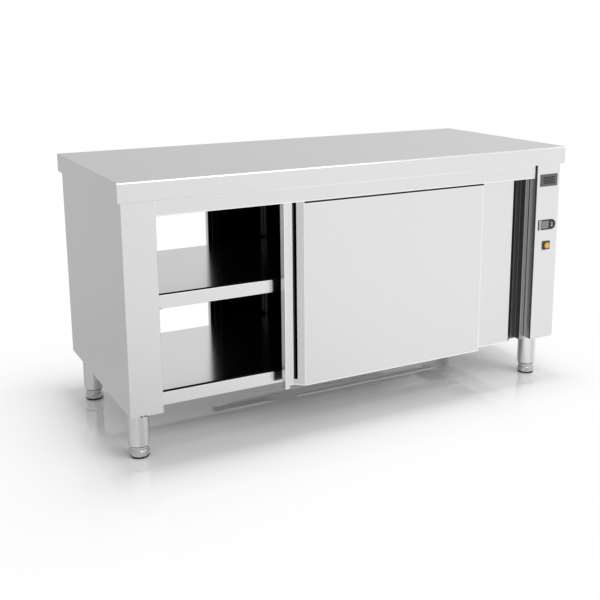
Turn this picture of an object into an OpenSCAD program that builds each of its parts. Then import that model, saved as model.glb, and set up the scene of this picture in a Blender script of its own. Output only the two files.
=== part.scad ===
// Pass-through plate warming cupboard with sliding doors at the front and the rear.
// Millimetres, +Z up. Origin at the centre of the footprint, on the floor. The front faces -Y.

/* [Overall] */
// Length of the worktop, along X
length = 1600; // [1400:10:2000]
// Depth of the worktop, front to rear
depth = 700; // [650:5:800]
// Height of the worktop surface above the floor
height = 850; // [800:5:900]

/* [Sheet metal] */
// Thickness of the body and door sheets
sheet = 1.2; // [0.8:0.1:1.5]
// Outer radius of a normal bend
bend_r = 2.4; // [2:0.1:3]
// Width of the small flanges that stiffen an edge
flange = 14; // [10:1:18]
// Width of the lips along the header's upper edge and under deck and shelf
lip_w = 22; // [18:1:26]

/* [Worktop] */
// Height of the worktop's folded edge
top_h = 60; // [50:1:70]
// Thickness of the worktop sheet
top_sheet = 1.5; // [1:0.1:2]
// Radius of the long upper edges
top_edge_r = 8; // [4:0.5:12]
// How far the worktop overhangs the body on every side
overhang = 10; // [8:1:20]
// Thickness of the board under the sheet
board_t = 18; // [12:1:22]

/* [Body] */
// Width of each end casing
casing_w = 100; // [90:1:130]
// Height of the casings' lower edge above the floor
body_z = 157; // [150:1:170]
// Height of the header that shows under the worktop
header_h = 48; // [44:1:60]
// How far the header sits behind the pillars
header_setback = 9; // [5:1:12]

/* [Deck and shelf] */
// Height of the bottom deck's surface
deck_z = 192; // [188:1:215]
// Height of the shelf's surface
shelf_z = 494; // [430:1:560]
// Height of the folded front and rear edges of deck and shelf
edge_h = 42; // [30:1:42]
// Width of the angles that carry the shelf
angle_w = 30; // [20:1:40]

/* [Doors] */
// Thickness of a door
door_t = 26; // [22:1:30]
// Running gap between the two lanes
lane_gap = 1.5; // [1.2:0.1:3]
// Gap between a header's folded hem and the outer door
header_gap = 0.9; // [0.8:0.1:2]
// How much the two doors overlap when both are closed
door_overlap = 128; // [100:1:160]
// Height of the doors' lower edge above the floor
door_z = 147; // [140:1:150]
// How far the doors reach up behind the header
door_tuck = 4; // [2:0.5:5]
// How far the outer doors stand open
outer_open = 402; // [0:1:560]
// Gap that a door's stop leaves to the pillar
stop_gap = 1.5; // [1:0.1:4]

/* [Door handle] */
// Width of the grip strip along the door's edge
strip_w = 16; // [12:0.5:20]
// Width of the recess floor
recess_w = 24.5; // [20:0.5:30]
// Width of the slope from the recess to the door's face
slope_w = 30; // [24:0.5:34]
// Width of the finger slot in the slope
slot_w = 13; // [9:0.5:16]
// Height of the closed end below the finger slot
slot_end = 20; // [12:1:30]

/* [Hanging gear] */
// Outer radius of a roller
roller_r = 11; // [9.5:0.5:11]
// Radius at the bottom of a roller's groove
groove_r = 9; // [7.5:0.5:9]
// Width of a roller
roller_w = 7; // [6:0.5:8]
// Radius of a roller's axle
axle_r = 3; // [2.5:0.1:4]
// Distance of the hangers from the door's ends
hanger_inset = 110; // [100:1:180]
// Wall thickness of the tracks and hangers
track_t = 2; // [1.5:0.1:2.2]

/* [Legs] */
// Outer diameter of a leg tube
leg_d = 65; // [50:1:68]
// Wall thickness of a leg tube
leg_wall = 1.5; // [1:0.1:2.5]
// Distance of a leg's axis from the worktop's end
leg_inset_x = 56; // [53:1:60]
// Distance of a leg's axis from the worktop's long edge
leg_inset_y = 92; // [85:1:140]
// Height of a screwed-in foot
foot_h = 40; // [32:1:50]
// Width of a foot across its corners
foot_d = 60; // [44:1:62]
// How far a foot can be screwed out
foot_travel = 45; // [20:1:50]
// Radius of a foot's threaded stem
stem_r = 8; // [6:0.5:10]

/* [Controls] */
// Width of the louvred plate
plate_w = 76; // [50:1:84]
// Height of the louvred plate
plate_h = 43; // [30:1:50]
// Distance of the plate's centre below the worktop
plate_drop = 56; // [46:1:75]
// Width of the thermostat's front
thermo_w = 75; // [60:1:80]
// Height of the thermostat's front
thermo_h = 36; // [30:1:40]
// Height of the thermostat's centre above the floor
thermo_z = 575; // [560:1:620]
// Radius of a thermostat key
key_r = 2.6; // [2:0.1:3]
// Side of the switch's square housing
switch_w = 31; // [28:1:36]
// Height of the switch's centre above the floor
switch_z = 500; // [470:1:520]
// Radius of the switch's button
button_r = 11; // [9:0.5:12]
// How far the button stands out of its housing
button_out = 5.5; // [4:0.1:5.5]

/* [Warm air unit] */
// Height of the fan's axis above the floor
fan_z = 300; // [285:1:340]
// Side of the fan's square frame
fan_w = 120; // [100:1:130]
// Thickness of the fan's frame
fan_t = 38; // [30:1:40]
// Radius of the fan's shaft
shaft_r = 3; // [2:0.5:4]
// Number of fan blades
blades = 7; // [5:1:9]
// Radius of the heating element's tube
element_r = 4.2; // [3:0.1:5]
// Distance between the element's fins
fin_pitch = 12; // [8:1:20]
// Height of the field of air slots above the shelf
outlet_h = 94; // [60:2:120]
// Distance from one air slot to the next
slot_pitch = 16; // [12:1:24]
// Height of an air slot
slot_h = 5; // [3:0.5:8]
// Margin from the air slots to the edge of the fan or the duct
slot_margin = 12; // [8:1:20]

/* [Cable entry] */
// Radius of the hole through the cable gland
cable_r = 5; // [3:0.5:6]
// Height of the cable gland above the floor
gland_z = 215; // [200:1:260]

/* [Hidden] */

$fn = 48;
seat = 0.3;                 // rest gap between pieces that run on each other
fit = 0.05;                 // radial clearance of a turning or sliding fit
cut = 1;                    // how far a cutter reaches past what it cuts
eps = 0.2;                  // side gap between folded pieces that are welded together

steel = [0.80, 0.80, 0.80];
steel_side = [0.72, 0.72, 0.72];
steel_dark = [0.40, 0.40, 0.42];
plastic = [0.12, 0.12, 0.12];

// body outline
half_l = length / 2;
half_d = depth / 2;
top_z = height - top_h;                 // underside of the worktop
body_x = half_l - overhang;             // outer face of an end casing
body_y = half_d - overhang;             // front face of a pillar
open_x = body_x - casing_w;             // side of the door opening
header_y = body_y - header_setback;     // front face of a header
header_z = top_z - header_h;            // lower edge of a header
ceiling_z = top_z - sheet;              // underside of the ceiling panel

// doors: lane 0 is the outer lane, lane 1 the inner one
lane_pitch = door_t + lane_gap;
hem_t = 2 * sheet + eps;                             // thickness of a header's folded hem
door_y = header_y - hem_t - header_gap;              // front plane of the outer door
door_w = open_x - stop_gap + door_overlap / 2 + stop_gap;
door_top = header_z + door_tuck;
door_h = door_top - door_z;
edge_y = door_y - 2 * door_t - lane_gap - 2;         // front face of deck and shelf
left_stop = -open_x + stop_gap;                      // left edge of a door at its left stop
right_stop = open_x - stop_gap - door_w;             // left edge of a door at its right stop
outer_x = left_stop + outer_open;                    // left edge of an outer door as it stands
inner_x = right_stop;                                // left edge of an inner door as it stands
slope_end = strip_w + recess_w + slope_w;            // where the plain face starts
recess_v = door_t - sheet;                           // depth of the recess floor's face
pocket_u = slope_end + 5;                            // wall that closes the finger pocket
guide_v = door_t / 2;                                // guide slot, measured from the door's face
guide_t = 5;
guide_slot = guide_t + 1;
guide_len = 34;
guide_x = ((left_stop + door_w - flange) + (right_stop + pocket_u + sheet)) / 2;

// hanging gear, measured from the front plane of its own lane
rail_lip = 9;                           // width of the lip that the rollers run on
rail_z = door_top + 13;                 // underside of the lip
bead_t = 1.6;                           // thickness of the upright bead on the lip
bead_h = 2.5;
bead_top = rail_z + track_t + bead_h;
bead_v = rail_lip - bead_t / 2;         // centre of the bead
roller_z = bead_top + seat + groove_r;
hanger_v = bead_v + roller_w / 2 + 0.8; // face of the hanger plate next to the roller
hanger_w = 40;
hanger_foot = 9;
track_top = ceiling_z - sheet;          // the track hangs under the header's flange

// deck, shelf and legs
deck_low = deck_z - edge_h;
shelf_low = shelf_z - edge_h;
leg_x = half_l - leg_inset_x;
leg_y = half_d - leg_inset_y;
pan_top = body_z + sheet;
spigot_r = leg_d / 2 - leg_wall - fit;
spigot_len = 42;
spigot_wall = 3;
mount_plate = 84;
mount_t = 3;
bolt_r = 4;
bolt_pos = mount_plate / 2 - 8;
insert_h = 20;

// controls and warm air unit
panel_x = body_x - casing_w / 2;        // centre line of the control pillar
plate_z = top_z - plate_drop;           // height of the louvred plate's centre
wall_x = open_x + sheet;                // outer side of the right inner wall
duct_w = 70;                            // width of the duct, along X
duct_d = 300;
duct_low = fan_z - fan_w / 2 - 15;
duct_high = header_z - 30;
rotor_r = fan_w / 2 - 5;
hub_r = 20;
key_gap = 0.3;
gland_x = panel_x;

// ---- folded sheet ----

function unit(v) = v / norm(v);
function turn_left(v) = [-v[1], v[0]];
function rotated(v, a) = [v[0] * cos(a) - v[1] * sin(a), v[0] * sin(a) + v[1] * cos(a)];
function turn(a, b) = atan2(a[0] * b[1] - a[1] * b[0], a[0] * b[0] + a[1] * b[1]);

// Points of one bend, on the line that lies s to the left of the path.
function bend(a, p, b, r, s) =
    let (d1 = unit(p - a), d2 = unit(b - p), angle = turn(d1, d2), way = sign(angle),
         centre = p - d1 * r * tan(abs(angle) / 2) + turn_left(d1) * way * r,
         steps = max(2, ceil(abs(angle) / 18)))
    [for (i = [0:steps]) centre - turn_left(rotated(d1, angle * i / steps)) * way * (r - way * s)];

// The whole line s to the left of a path, with a radius for each of its corners.
function offset_line(path, radii, s) =
    let (last = len(path) - 1)
    concat([path[0] + turn_left(unit(path[1] - path[0])) * s],
           [for (i = [1:last - 1], q = bend(path[i - 1], path[i], path[i + 1], radii[i - 1], s)) q],
           [path[last] + turn_left(unit(path[last] - path[last - 1])) * s]);

function reversed(v) = [for (i = [len(v) - 1:-1:0]) v[i]];
function same(n, value) = [for (i = [1:n]) value];
function around(middle, reach) = [middle - reach, middle + reach];

// A sheet folded along a path. The path is one face, and the sheet lies t to its left,
// or to its right where t is negative.
module folded(path, t = sheet, radii = undef) {
    r = is_undef(radii) ? same(len(path) - 2, bend_r) : radii;
    polygon(concat(offset_line(path, r, 0), reversed(offset_line(path, r, t))));
}

// A profile drawn in Y and Z, extruded along X from x0 to x1.
module along_x(x0, x1) {
    translate([x0, 0, 0]) rotate([90, 0, 90]) linear_extrude(x1 - x0) children();
}

module box(x, y, z) {
    translate([x[0], y[0], z[0]]) cube([x[1] - x[0], y[1] - y[0], z[1] - z[0]]);
}

// A cylinder along Y, from y0 to y1.
module rod_y(x, z, r, y0, y1) {
    translate([x, y1, z]) rotate([90, 0, 0]) cylinder(r = r, h = y1 - y0);
}

// A cylinder along X, from x0 to x1.
module rod_x(y, z, r, x0, x1) {
    translate([x0, y, z]) rotate([0, 90, 0]) cylinder(r = r, h = x1 - x0);
}

module both_sides() {
    children();
    mirror([1, 0, 0]) children();
}

module front_and_rear() {
    children();
    mirror([0, 1, 0]) children();
}

module at_each_leg() {
    for (sx = [-1, 1], sy = [-1, 1]) translate([sx * leg_x, sy * leg_y, 0]) children();
}

// ---- worktop ----

top_path = [[-half_d + flange, top_z], [-half_d, top_z], [-half_d, height],
            [half_d, height], [half_d, top_z], [half_d - flange, top_z]];
top_radii = [bend_r, top_edge_r, top_edge_r, bend_r];

module worktop() {
    color(steel) union() {
        along_x(-half_l, half_l) folded(top_path, -top_sheet, top_radii);
        both_sides() {
            along_x(half_l - top_sheet, half_l) polygon(offset_line(top_path, top_radii, 0));
            box([half_l - flange, half_l], [-half_d + flange, half_d - flange], [top_z, top_z + top_sheet]);
        }
    }
}

module worktop_board() {
    inset = top_edge_r;
    color([0.62, 0.52, 0.40])
        box([-half_l + inset, half_l - inset], [-half_d + inset, half_d - inset],
            [height - top_sheet - board_t, height - top_sheet]);
}

// Omega channels that carry the board on the ceiling panel and the casings.
module worktop_channels() {
    channel_h = height - top_sheet - board_t - top_z;
    web = 50;
    low = top_z + top_sheet;
    path = [[-web / 2 - flange, low], [-web / 2, low], [-web / 2, top_z + channel_h],
            [web / 2, top_z + channel_h], [web / 2, low], [web / 2 + flange, low]];
    color(steel_side) for (y = [-1, 0, 1] * depth * 0.3)
        translate([0, y, 0]) along_x(-body_x + 30, body_x - 30) folded(path, -top_sheet);
}

module ceiling_panel() {
    color(steel_side) box([-open_x, open_x], [-header_y, header_y], [ceiling_z, top_z]);
}

// ---- casings and inner walls ----

casing_path = [[-open_x - flange, -edge_y], [-open_x, -edge_y], [-open_x, -body_y],
               [-body_x, -body_y], [-body_x, body_y], [-open_x, body_y],
               [-open_x, edge_y], [-open_x - flange, edge_y]];

// Space that the rim of a base pan needs at the flanges beside a door opening.
module pan_notches() {
    front_and_rear() box([-open_x - flange - cut, -open_x - sheet], [edge_y - flange, edge_y + flange],
                         [body_z - cut, body_z + flange + eps]);
}

module casing() {
    difference() {
        translate([0, 0, body_z]) linear_extrude(top_z - body_z) folded(casing_path, -sheet);
        pan_notches();
    }
}

module left_end_casing() {
    color(steel_side) casing();
}

module right_end_casing() {
    front = [-body_y - cut, -body_y + sheet + cut];
    color(steel_side) difference() {
        mirror([1, 0, 0]) casing();
        box(around(panel_x, plate_w / 2 - 5), front, around(plate_z, plate_h / 2 - 5));
        box(around(panel_x, thermo_body_w / 2), front, around(thermo_z, thermo_body_h / 2));
        rod_y(panel_x, switch_z, switch_neck_r, front[0], front[1]);
        rod_y(gland_x, gland_z, gland_neck_r + fit, body_y - sheet - cut, body_y + cut);
    }
}

wall_path = [[-open_x - flange, -edge_y], [-open_x, -edge_y],
             [-open_x, edge_y], [-open_x - flange, edge_y]];

module inner_wall() {
    difference() {
        translate([0, 0, pan_top]) linear_extrude(ceiling_z - pan_top) folded(wall_path, sheet);
        pan_notches();
    }
}

module left_inner_wall() {
    color(steel_dark) inner_wall();
}

// Rows of air slots cut through the right inner wall.
module air_slots(low, high, width) {
    for (z = [low:slot_pitch:high - slot_h])
        box([open_x - cut, wall_x + cut], [-width / 2, width / 2], [z, z + slot_h]);
}

module right_inner_wall() {
    color(steel_dark) difference() {
        mirror([1, 0, 0]) inner_wall();
        air_slots(fan_z - fan_w / 2 + slot_margin, fan_z + fan_w / 2 - slot_margin,
                  fan_w - 2 * slot_margin);
        air_slots(duct_high - slot_margin - outlet_h, duct_high - slot_margin, duct_d - 2 * slot_margin);
    }
}

// ---- headers, tracks and guides ----

header_hem = 12;
header_path = [[-header_y + lip_w, ceiling_z], [-header_y, ceiling_z], [-header_y, header_z],
               [-header_y + hem_t, header_z], [-header_y + hem_t, header_z + header_hem]];

module header() {
    along_x(-open_x, open_x)
        folded(header_path, sheet, [bend_r, hem_t / 2, hem_t / 2]);
}

module front_header() {
    color(steel) header();
}

module rear_header() {
    color(steel) mirror([0, 1, 0]) header();
}

// Cross-section of the rail of one lane, measured from the lane's front plane.
module rail_profile() {
    square_at([0, rail_z], [track_t, track_top - rail_z]);
    square_at([0, rail_z], [rail_lip, track_t]);
    square_at([rail_lip - bead_t, rail_z], [bead_t, bead_top - rail_z]);
}

module square_at(corner, size) {
    translate(corner) square(size);
}

module door_track() {
    along_x(-open_x, open_x) {
        for (lane = [0, 1]) translate([-door_y + lane * lane_pitch, 0]) rail_profile();
        square_at([-door_y, track_top - track_t], [lane_pitch + door_t, track_t]);
    }
}

module front_door_track() {
    color(steel_dark) door_track();
}

module rear_door_track() {
    color(steel_dark) mirror([0, 1, 0]) door_track();
}

// One guide tongue for each lane, on a common foot under the deck's edge.
module guide_block() {
    foot_z = door_z - 1 - 3.5;
    span = guide_x + guide_len / 2;
    box([-span, span], [-door_y + guide_v - guide_t / 2, -edge_y + flange], [foot_z, door_z - 1]);
    box([-span, span], [-edge_y + 1, -edge_y + flange], [door_z - 1, deck_low]);
    for (lane = [0, 1])
        translate([(1 - 2 * lane) * guide_x, -door_y + lane * lane_pitch + guide_v, door_z - 1])
            translate([-guide_len / 2, -guide_t / 2, 0]) cube([guide_len, guide_t, 11]);
}

module door_guides() {
    color(plastic) front_and_rear() guide_block();
}

// ---- deck and shelf ----

// A tray folded down along its front and rear edges, with a small return flange.
module edged_tray(x, top) {
    low = top - edge_h;
    path = [[-edge_y + lip_w, low], [-edge_y, low], [-edge_y, top],
            [edge_y, top], [edge_y, low], [edge_y - lip_w, low]];
    along_x(-x, x) folded(path, -sheet);
}

module bottom_deck() {
    color(steel) edged_tray(open_x, deck_z);
}

// Omega channels that stiffen the deck from below.
module deck_channels() {
    web = 60;
    low = deck_low + sheet;
    path = [[-web / 2 - flange, low], [-web / 2, low], [-web / 2, deck_z - sheet],
            [web / 2, deck_z - sheet], [web / 2, low], [web / 2 + flange, low]];
    color(steel_side) for (y = [-1, 1] * edge_y / 3)
        translate([0, y, 0]) along_x(-open_x, open_x) folded(path, -sheet);
}

module shelf() {
    color(steel) edged_tray(open_x - 0.5, shelf_z);
}

module shelf_angles() {
    reach = edge_y - 4;
    color(steel_dark) both_sides() {
        box([-open_x, -open_x + angle_w], [-reach, reach], [shelf_low - track_t, shelf_low]);
        box([-open_x, -open_x + track_t], [-reach, reach], [shelf_low - angle_w, shelf_low]);
    }
}

// ---- base and legs ----

// Pans that close the casings from below. The legs are bolted to them.
module base_pans() {
    x0 = -body_x + sheet;
    x1 = -open_x - sheet;
    y1 = body_y - sheet;
    c = bend_r - sheet;
    color(steel_side) both_sides() difference() {
        translate([0, 0, body_z]) linear_extrude(flange) polygon([
            [x0 + c, -y1], [x1 - c, -y1], [x1, -y1 + c], [x1, y1 - c],
            [x1 - c, y1], [x0 + c, y1], [x0, y1 - c], [x0, -y1 + c]]);
        box([x0 + sheet, x1 - sheet], [-y1 + sheet, y1 - sheet], [pan_top, body_z + flange + cut]);
        for (sy = [-1, 1]) translate([-leg_x, sy * leg_y, body_z - cut]) {
            cylinder(r = spigot_r + fit, h = sheet + 2 * cut);
            for (a = [0:3]) rotate(a * 90) translate([bolt_pos, bolt_pos, 0])
                cylinder(r = bolt_r + fit, h = sheet + 2 * cut);
        }
    }
}

module leg_spigots() {
    color(steel_side) at_each_leg() difference() {
        union() {
            translate([0, 0, pan_top - spigot_len]) cylinder(r = spigot_r, h = spigot_len + mount_t);
            translate([-mount_plate / 2, -mount_plate / 2, pan_top])
                cube([mount_plate, mount_plate, mount_t]);
        }
        translate([0, 0, pan_top - spigot_len - cut])
            cylinder(r = spigot_r - spigot_wall, h = spigot_len + mount_t + 2 * cut);
        for (a = [0:3]) rotate(a * 90) translate([bolt_pos, bolt_pos, pan_top - cut])
            cylinder(r = bolt_r + fit, h = mount_t + 2 * cut);
    }
}

module leg_bolts() {
    head_h = 5;
    color(steel_dark) at_each_leg() for (a = [0:3]) rotate(a * 90) translate([bolt_pos, bolt_pos, 0]) {
        translate([0, 0, body_z]) cylinder(r = bolt_r, h = sheet + mount_t);
        translate([0, 0, pan_top + mount_t]) cylinder(r = 7.5, h = head_h, $fn = 6);
    }
}

module leg_tubes() {
    color(steel) at_each_leg() difference() {
        translate([0, 0, foot_h]) cylinder(r = leg_d / 2, h = body_z - foot_h, $fn = 96);
        translate([0, 0, foot_h - cut])
            cylinder(r = leg_d / 2 - leg_wall, h = body_z - foot_h + 2 * cut, $fn = 96);
    }
}

module leg_inserts() {
    color(plastic) at_each_leg() difference() {
        translate([0, 0, foot_h + seat]) cylinder(r = leg_d / 2 - leg_wall, h = insert_h);
        translate([0, 0, foot_h]) cylinder(r = stem_r + fit, h = insert_h + cut);
    }
}

// Levelling foot: an eight-sided grip on a round pad, a collar and a threaded stem.
module foot(x, y) {
    pad_h = 3;
    grip_h = foot_h * 0.5;
    chamfer = 3;
    collar_r = foot_d / 2 * cos(22.5) + 0.6;
    color(steel_side) translate([x, y, 0]) union() {
        cylinder(r = foot_d / 2 - chamfer, h = pad_h);
        translate([0, 0, pad_h]) rotate(22.5) cylinder(r = foot_d / 2, h = grip_h, $fn = 8);
        translate([0, 0, pad_h + grip_h - 1]) cylinder(r1 = foot_d / 2 - 0.8, r2 = collar_r - 1.2, h = 3);
        translate([0, 0, pad_h + grip_h]) cylinder(r = collar_r - 1, h = foot_h - seat - pad_h - grip_h);
        translate([0, 0, foot_h - 5]) cylinder(r = collar_r, h = 5 - seat);
        translate([0, 0, foot_h - 2]) cylinder(r = stem_r, h = 2 + seat + insert_h + foot_travel);
    }
}

module front_left_foot() { foot(-leg_x, -leg_y); }
module front_right_foot() { foot(leg_x, -leg_y); }
module rear_left_foot() { foot(-leg_x, leg_y); }
module rear_right_foot() { foot(leg_x, leg_y); }

// ---- doors ----
// A door is drawn with its handle at X = 0, its face at Y = 0 and its lower edge at Z = 0.

skin_path = [[strip_w - sheet - eps, door_t], [0, door_t], [0, 0], [strip_w, 0], [strip_w, recess_v],
             [strip_w + recess_w, recess_v], [slope_end, 0], [door_w, 0], [door_w, door_t]];
skin_radii = [bend_r, bend_r, bend_r, bend_r, bend_r, bend_r, bend_r];

// End plate of a door: the space between the skin's face line and the rear plane.
module door_end_plate() {
    polygon(offset_line(skin_path, skin_radii, 0));
}

module door_skin() {
    run = [slope_w, -recess_v];
    angle = atan2(run[1], run[0]);
    difference() {
        union() {
            linear_extrude(door_h) folded(skin_path, sheet, skin_radii);
            for (z = [0, door_h - sheet]) translate([0, 0, z]) linear_extrude(sheet) door_end_plate();
        }
        // finger slot in the slope
        translate([strip_w + recess_w, recess_v, slot_end]) rotate(angle)
            translate([0.6, -sheet, 0]) cube([slot_w, 4 * sheet, door_h - slot_end - 2 * sheet]);
        // slot for the guide tongue in the lower end plate
        box([pocket_u + sheet, door_w - flange + 8], [guide_v - guide_slot / 2, guide_v + guide_slot / 2],
            [-cut, sheet + cut]);
    }
}

// Rear sheet of a door, with flanges along three edges and the wall that closes the finger pocket.
module door_liner() {
    u0 = strip_w + recess_w + 3;
    u1 = door_w - sheet;
    z0 = sheet;
    z1 = door_h - sheet;
    hem = 8;
    difference() {
        union() {
            box([u0, u1], [recess_v, door_t], [z0, z1]);
            box([pocket_u, u1], [recess_v - hem, recess_v], [z0, z1]);
        }
        box([pocket_u - cut, u1 - sheet], [recess_v - hem - cut, recess_v], [z0 + sheet, z1 - sheet]);
    }
    box([pocket_u, pocket_u + sheet], [sheet, recess_v], [z0, z1]);
}

function hanger_at(i) = i == 0 ? hanger_inset : door_w - hanger_inset;

// Two angle hangers with their axles, on top of a door.
module door_hangers() {
    base = door_h;
    axle_z = roller_z - door_z;
    for (i = [0, 1]) translate([hanger_at(i), 0, 0]) {
        box([-hanger_w / 2, hanger_w / 2], [hanger_v, hanger_v + hanger_foot], [base, base + track_t]);
        difference() {
            box([-hanger_w / 2, hanger_w / 2], [hanger_v, hanger_v + track_t], [base, axle_z + axle_r + 4]);
            for (sx = [-1, 1]) translate([sx * hanger_w / 2, 0, axle_z + axle_r + 4])
                rotate([0, 45, 0]) cube([12, 60, 12], center = true);
        }
        rod_y(0, axle_z, axle_r, hanger_v - roller_w - 2 * 0.8, hanger_v + track_t);
        rod_y(0, axle_z, axle_r + 1.5, hanger_v - roller_w - 2 * 0.8 - 1, hanger_v - roller_w - 2 * 0.8);
    }
}

// A grooved roller that runs on the rail's bead.
module door_roller(i) {
    half = roller_w / 2;
    flank = roller_r - groove_r;
    translate([hanger_at(i), bead_v, roller_z - door_z]) rotate([90, 0, 0]) rotate_extrude($fn = 64)
        polygon([[axle_r + fit, -half], [roller_r - 0.5, -half], [roller_r, -half + 0.5],
                 [roller_r, -bead_t / 2 - 0.9], [roller_r - flank, -bead_t / 2 - 0.3],
                 [roller_r - flank, bead_t / 2 + 0.3], [roller_r, bead_t / 2 + 0.9],
                 [roller_r, half - 0.5], [roller_r - 0.5, half], [axle_r + fit, half]]);
}

// An outer door has its handle at the left, an inner door at the right.
module place_door(lane) {
    translate([lane == 0 ? outer_x : inner_x + door_w, -door_y + lane * lane_pitch, door_z])
        mirror([lane, 0, 0]) children();
}

module to_rear() { mirror([0, 1, 0]) children(); }

module front_outer_skin() { color(steel) place_door(0) door_skin(); }
module front_outer_liner() { color(steel_dark) place_door(0) door_liner(); }
module front_outer_hangers() { color(steel_side) place_door(0) door_hangers(); }
module front_outer_roller_a() { color(plastic) place_door(0) door_roller(0); }
module front_outer_roller_b() { color(plastic) place_door(0) door_roller(1); }

module front_inner_skin() { color(steel) place_door(1) door_skin(); }
module front_inner_liner() { color(steel_dark) place_door(1) door_liner(); }
module front_inner_hangers() { color(steel_side) place_door(1) door_hangers(); }
module front_inner_roller_a() { color(plastic) place_door(1) door_roller(0); }
module front_inner_roller_b() { color(plastic) place_door(1) door_roller(1); }

module rear_outer_skin() { to_rear() front_outer_skin(); }
module rear_outer_liner() { to_rear() front_outer_liner(); }
module rear_outer_hangers() { to_rear() front_outer_hangers(); }
module rear_outer_roller_a() { to_rear() front_outer_roller_a(); }
module rear_outer_roller_b() { to_rear() front_outer_roller_b(); }

module rear_inner_skin() { to_rear() front_inner_skin(); }
module rear_inner_liner() { to_rear() front_inner_liner(); }
module rear_inner_hangers() { to_rear() front_inner_hangers(); }
module rear_inner_roller_a() { to_rear() front_inner_roller_a(); }
module rear_inner_roller_b() { to_rear() front_inner_roller_b(); }

// ---- controls on the right pillar ----

plate_t = 1.5;
thermo_out = 3;
thermo_body_w = 62;
thermo_body_h = 29;
thermo_deep = 55;
thermo_flat = thermo_w - thermo_h / 2;       // where the front's round end starts
key_x = panel_x + thermo_w / 2 - thermo_h / 2 + 1;
key_step = 9;
key_travel = 0.8;
switch_out = 3.5;
switch_neck_r = 14;
switch_deep = 40;
button_travel = 3;
button_stem_r = 5;
button_end = -body_y + 10;                   // inner end of the button's stem

module louvred_plate() {
    inset = 5 + eps;
    y0 = -body_y - plate_t;
    color(plastic) difference() {
        union() {
            box(around(panel_x, plate_w / 2), [y0, -body_y], around(plate_z, plate_h / 2));
            box(around(panel_x, plate_w / 2 - inset), [-body_y, -body_y + sheet + 2],
                around(plate_z, plate_h / 2 - inset));
        }
        for (i = [-2:2]) box(around(panel_x, plate_w / 2 - 12), [y0 - cut, -body_y + sheet + 2 + cut],
                             around(plate_z + i * plate_h / 8, 1.2));
    }
}

// Front outline of the thermostat: square at the left, round at the right.
module thermo_outline(w, h) {
    square_at([-w / 2, -h / 2], [w - h / 2, h]);
    translate([w / 2 - h / 2, 0]) circle(r = h / 2);
}

// Extrudes a front view towards the viewer, from y0 (nearer) to y1.
module facing_front(x, z, y0, y1) {
    translate([x, y1, z]) rotate([90, 0, 0]) linear_extrude(y1 - y0) children();
}

module key_hole(dz) {
    rod_y(key_x, thermo_z + dz, key_r + key_gap, -body_y - thermo_out - cut, -body_y - thermo_out + 2.2);
}

module thermostat_case() {
    window_x = panel_x - thermo_w / 2 + 14;
    color(plastic) difference() {
        union() {
            facing_front(panel_x, thermo_z, -body_y - thermo_out, -body_y)
                thermo_outline(thermo_w, thermo_h);
            box(around(panel_x, thermo_body_w / 2 - eps), [-body_y, -body_y + thermo_deep],
                around(thermo_z, thermo_body_h / 2 - eps));
        }
        key_hole(key_step / 2);
        key_hole(-key_step / 2);
        box([window_x, window_x + 30], [-body_y - thermo_out - cut, -body_y - thermo_out + 0.8],
            around(thermo_z, thermo_h / 2 - 4));
    }
}

module thermostat_key(dz) {
    color([0.85, 0.70, 0.35])
        rod_y(key_x, thermo_z + dz, key_r,
              -body_y - thermo_out - 1, -body_y - thermo_out + 2.2 - key_travel - seat);
}

module thermostat_key_up() { thermostat_key(key_step / 2); }
module thermostat_key_down() { thermostat_key(-key_step / 2); }

module switch_housing() {
    face = -body_y - switch_out;
    color(plastic) difference() {
        union() {
            box(around(panel_x, switch_w / 2), [face, -body_y], around(switch_z, switch_w / 2));
            rod_y(panel_x, switch_z, switch_neck_r - eps, -body_y, -body_y + switch_deep);
        }
        rod_y(panel_x, switch_z, button_r + key_gap, face - cut, face + button_travel + seat);
        rod_y(panel_x, switch_z, button_stem_r + key_gap, face - cut, button_end + button_travel + seat);
    }
}

module switch_button() {
    face = -body_y - switch_out;
    crown = [[0, 0], [button_r, 0], [button_r, button_out - 1.8], [button_r - 0.5, button_out - 0.8],
             [button_r - 2, button_out - 0.2], [button_r - 4, button_out], [0, button_out]];
    color([0.95, 0.60, 0.15]) union() {
        translate([panel_x, face, switch_z]) rotate([90, 0, 0]) rotate_extrude() polygon(crown);
        rod_y(panel_x, switch_z, button_stem_r, face - 1, button_end);
    }
}

// ---- warm air unit in the right casing ----

module air_duct() {
    x1 = wall_x + duct_w;
    wall = 1;
    color(steel_dark) difference() {
        box([wall_x, x1], [-duct_d / 2, duct_d / 2], [duct_low, duct_high]);
        box([wall_x - cut, x1 - wall], [-duct_d / 2 + wall, duct_d / 2 - wall],
            [duct_low + wall, duct_high - wall]);
    }
}

element_x = wall_x + duct_w / 2;
element_z = fan_z + fan_w / 2 + 60;
element_gap = 60;
element_run = duct_d - 90;
fin_r = element_r + 8;

// Tubular heater: two finned runs joined by a half turn, with both ends held in the duct's wall.
module heating_element() {
    ferrule = 8;
    color(steel_dark) union() {
        for (z = around(element_z, element_gap / 2)) {
            rod_y(element_x, z, element_r, -duct_d / 2 + 1, element_run / 2);
            rod_y(element_x, z, element_r + 1.2,
                  element_run / 2 - ferrule / 2, element_run / 2 + ferrule / 2);
            for (y = [-element_run / 2 + 10:fin_pitch:element_run / 2 - 10])
                rod_y(element_x, z, fin_r, y, y + 0.8);
        }
        translate([element_x, element_run / 2, element_z]) rotate([0, -90, 180])
            rotate_extrude(angle = 180) translate([element_gap / 2, 0]) circle(r = element_r);
    }
}

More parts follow.
